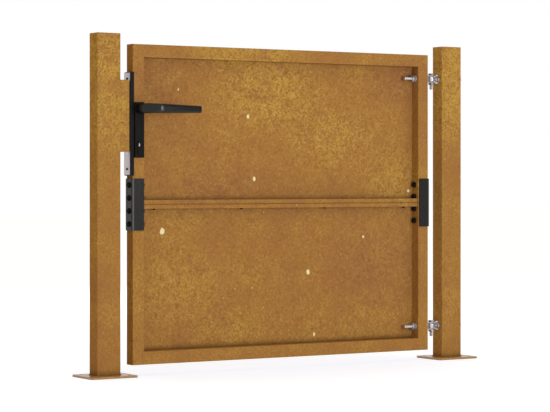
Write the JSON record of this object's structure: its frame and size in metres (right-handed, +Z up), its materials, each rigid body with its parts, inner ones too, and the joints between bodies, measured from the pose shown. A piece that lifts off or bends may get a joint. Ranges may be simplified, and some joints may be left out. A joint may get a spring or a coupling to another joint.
{
  "type": "garden gate",
  "caption": "low single-leaf garden gate of weathering steel, with posts on base plates, lever lock and adjustable eye hinges",
  "frame": {"origin": "on the ground, midway between the outer sides of the posts and midway in depth", "axes": "+X from the latch post to the hinge post, +Y from the front to the rear, +Z up"},
  "size_m": [1.094, 0.14, 0.788],
  "materials": {
    "weathering_steel": "rusted weathering steel, rough and speckled",
    "dark_steel": "dark grey satin",
    "zinc_plated_steel": "zinc plated",
    "black_lever_finish": "black satin",
    "black_nylon": "moulded matt",
    "bright_steel": "brushed",
    "nickelled_brass": "satin nickelled"
  },
  "bodies": {
    "posts": {"latch_post_tube": "weathering_steel", "latch_post_cap": "weathering_steel", "latch_base_plate": "weathering_steel", "strike_box": "weathering_steel", "strike_plate": "weathering_steel", "hinge_post_tube": "weathering_steel", "hinge_post_cap": "weathering_steel", "hinge_base_plate": "weathering_steel", "lower_post_eyebolt": "zinc_plated_steel", "upper_post_eyebolt": "zinc_plated_steel", "eyebolt_nuts": "zinc_plated_steel"},
    "leaf": {"top_rail": "weathering_steel", "bottom_rail": "weathering_steel", "upper_latch_stile": "weathering_steel", "lower_latch_stile": "weathering_steel", "upper_hinge_stile": "weathering_steel", "lower_hinge_stile": "weathering_steel", "upper_panel": "weathering_steel", "lower_panel": "weathering_steel", "upper_middle_channel": "weathering_steel", "lower_middle_channel": "weathering_steel", "latch_side_bracket": "dark_steel", "hinge_side_bracket": "dark_steel", "bracket_bolts": "dark_steel", "bracket_nuts": "dark_steel", "channel_bolts": "dark_steel", "channel_nuts": "dark_steel", "forend_screws": "dark_steel", "escutcheon_screws": "dark_steel", "lower_hinge_fork": "zinc_plated_steel", "upper_hinge_fork": "zinc_plated_steel", "hinge_sleeves": "zinc_plated_steel", "hinge_pins": "zinc_plated_steel", "hinge_pin_nuts": "zinc_plated_steel", "lock_case": "zinc_plated_steel", "cylinder_screw": "zinc_plated_steel", "latch_spring": "zinc_plated_steel", "front_escutcheon": "black_lever_finish", "rear_escutcheon": "black_lever_finish", "cylinder_body": "black_lever_finish", "lock_housing": "black_nylon", "lock_forend": "bright_steel", "rear_key_plug": "nickelled_brass"},
    "handle": {"front_lever": "black_lever_finish", "rear_lever": "black_lever_finish", "lever_grub_screws": "dark_steel", "handle_spindle": "zinc_plated_steel", "lock_follower": "zinc_plated_steel"},
    "latch": {"latch_bolt": "bright_steel"},
    "key_plug": {"front_key_plug": "nickelled_brass", "cylinder_cam": "zinc_plated_steel"},
    "dead_bolt": {"dead_bolt": "bright_steel"}
  },
  "joints": [
    {"name": "leaf_swing", "type": "hinge", "parent": "posts", "child": "leaf", "pos_m": [0.437, 0, 0.395], "axis": [0, 0, 1], "range_deg": [-90, 90]},
    {"name": "handle_turn", "type": "hinge", "parent": "leaf", "child": "handle", "pos_m": [-0.408, 0, 0.616], "axis": [0, 1, 0], "range_deg": [0, 30], "stiffness_Nm_per_rad": 1.2, "springref_deg": -34.38},
    {"name": "latch_slide", "type": "slide", "parent": "leaf", "child": "latch", "axis": [1, 0, 0], "range_m": [0, 0.0055], "deforming": ["latch_spring"]},
    {"name": "key_turn", "type": "hinge", "parent": "leaf", "child": "key_plug", "pos_m": [-0.408, 0, 0.533], "axis": [0, -1, 0], "range_deg": [0, 70]},
    {"name": "dead_bolt_slide", "type": "slide", "parent": "leaf", "child": "dead_bolt", "axis": [-1, 0, 0], "range_m": [0, 0.01243]}
  ],
  "couplings": [
    {"joint": "latch_slide", "follows": "handle_turn", "m_per_rad": 0.0105},
    {"joint": "key_turn", "follows": "dead_bolt_slide", "rad_per_m": 98.2}
  ]
}
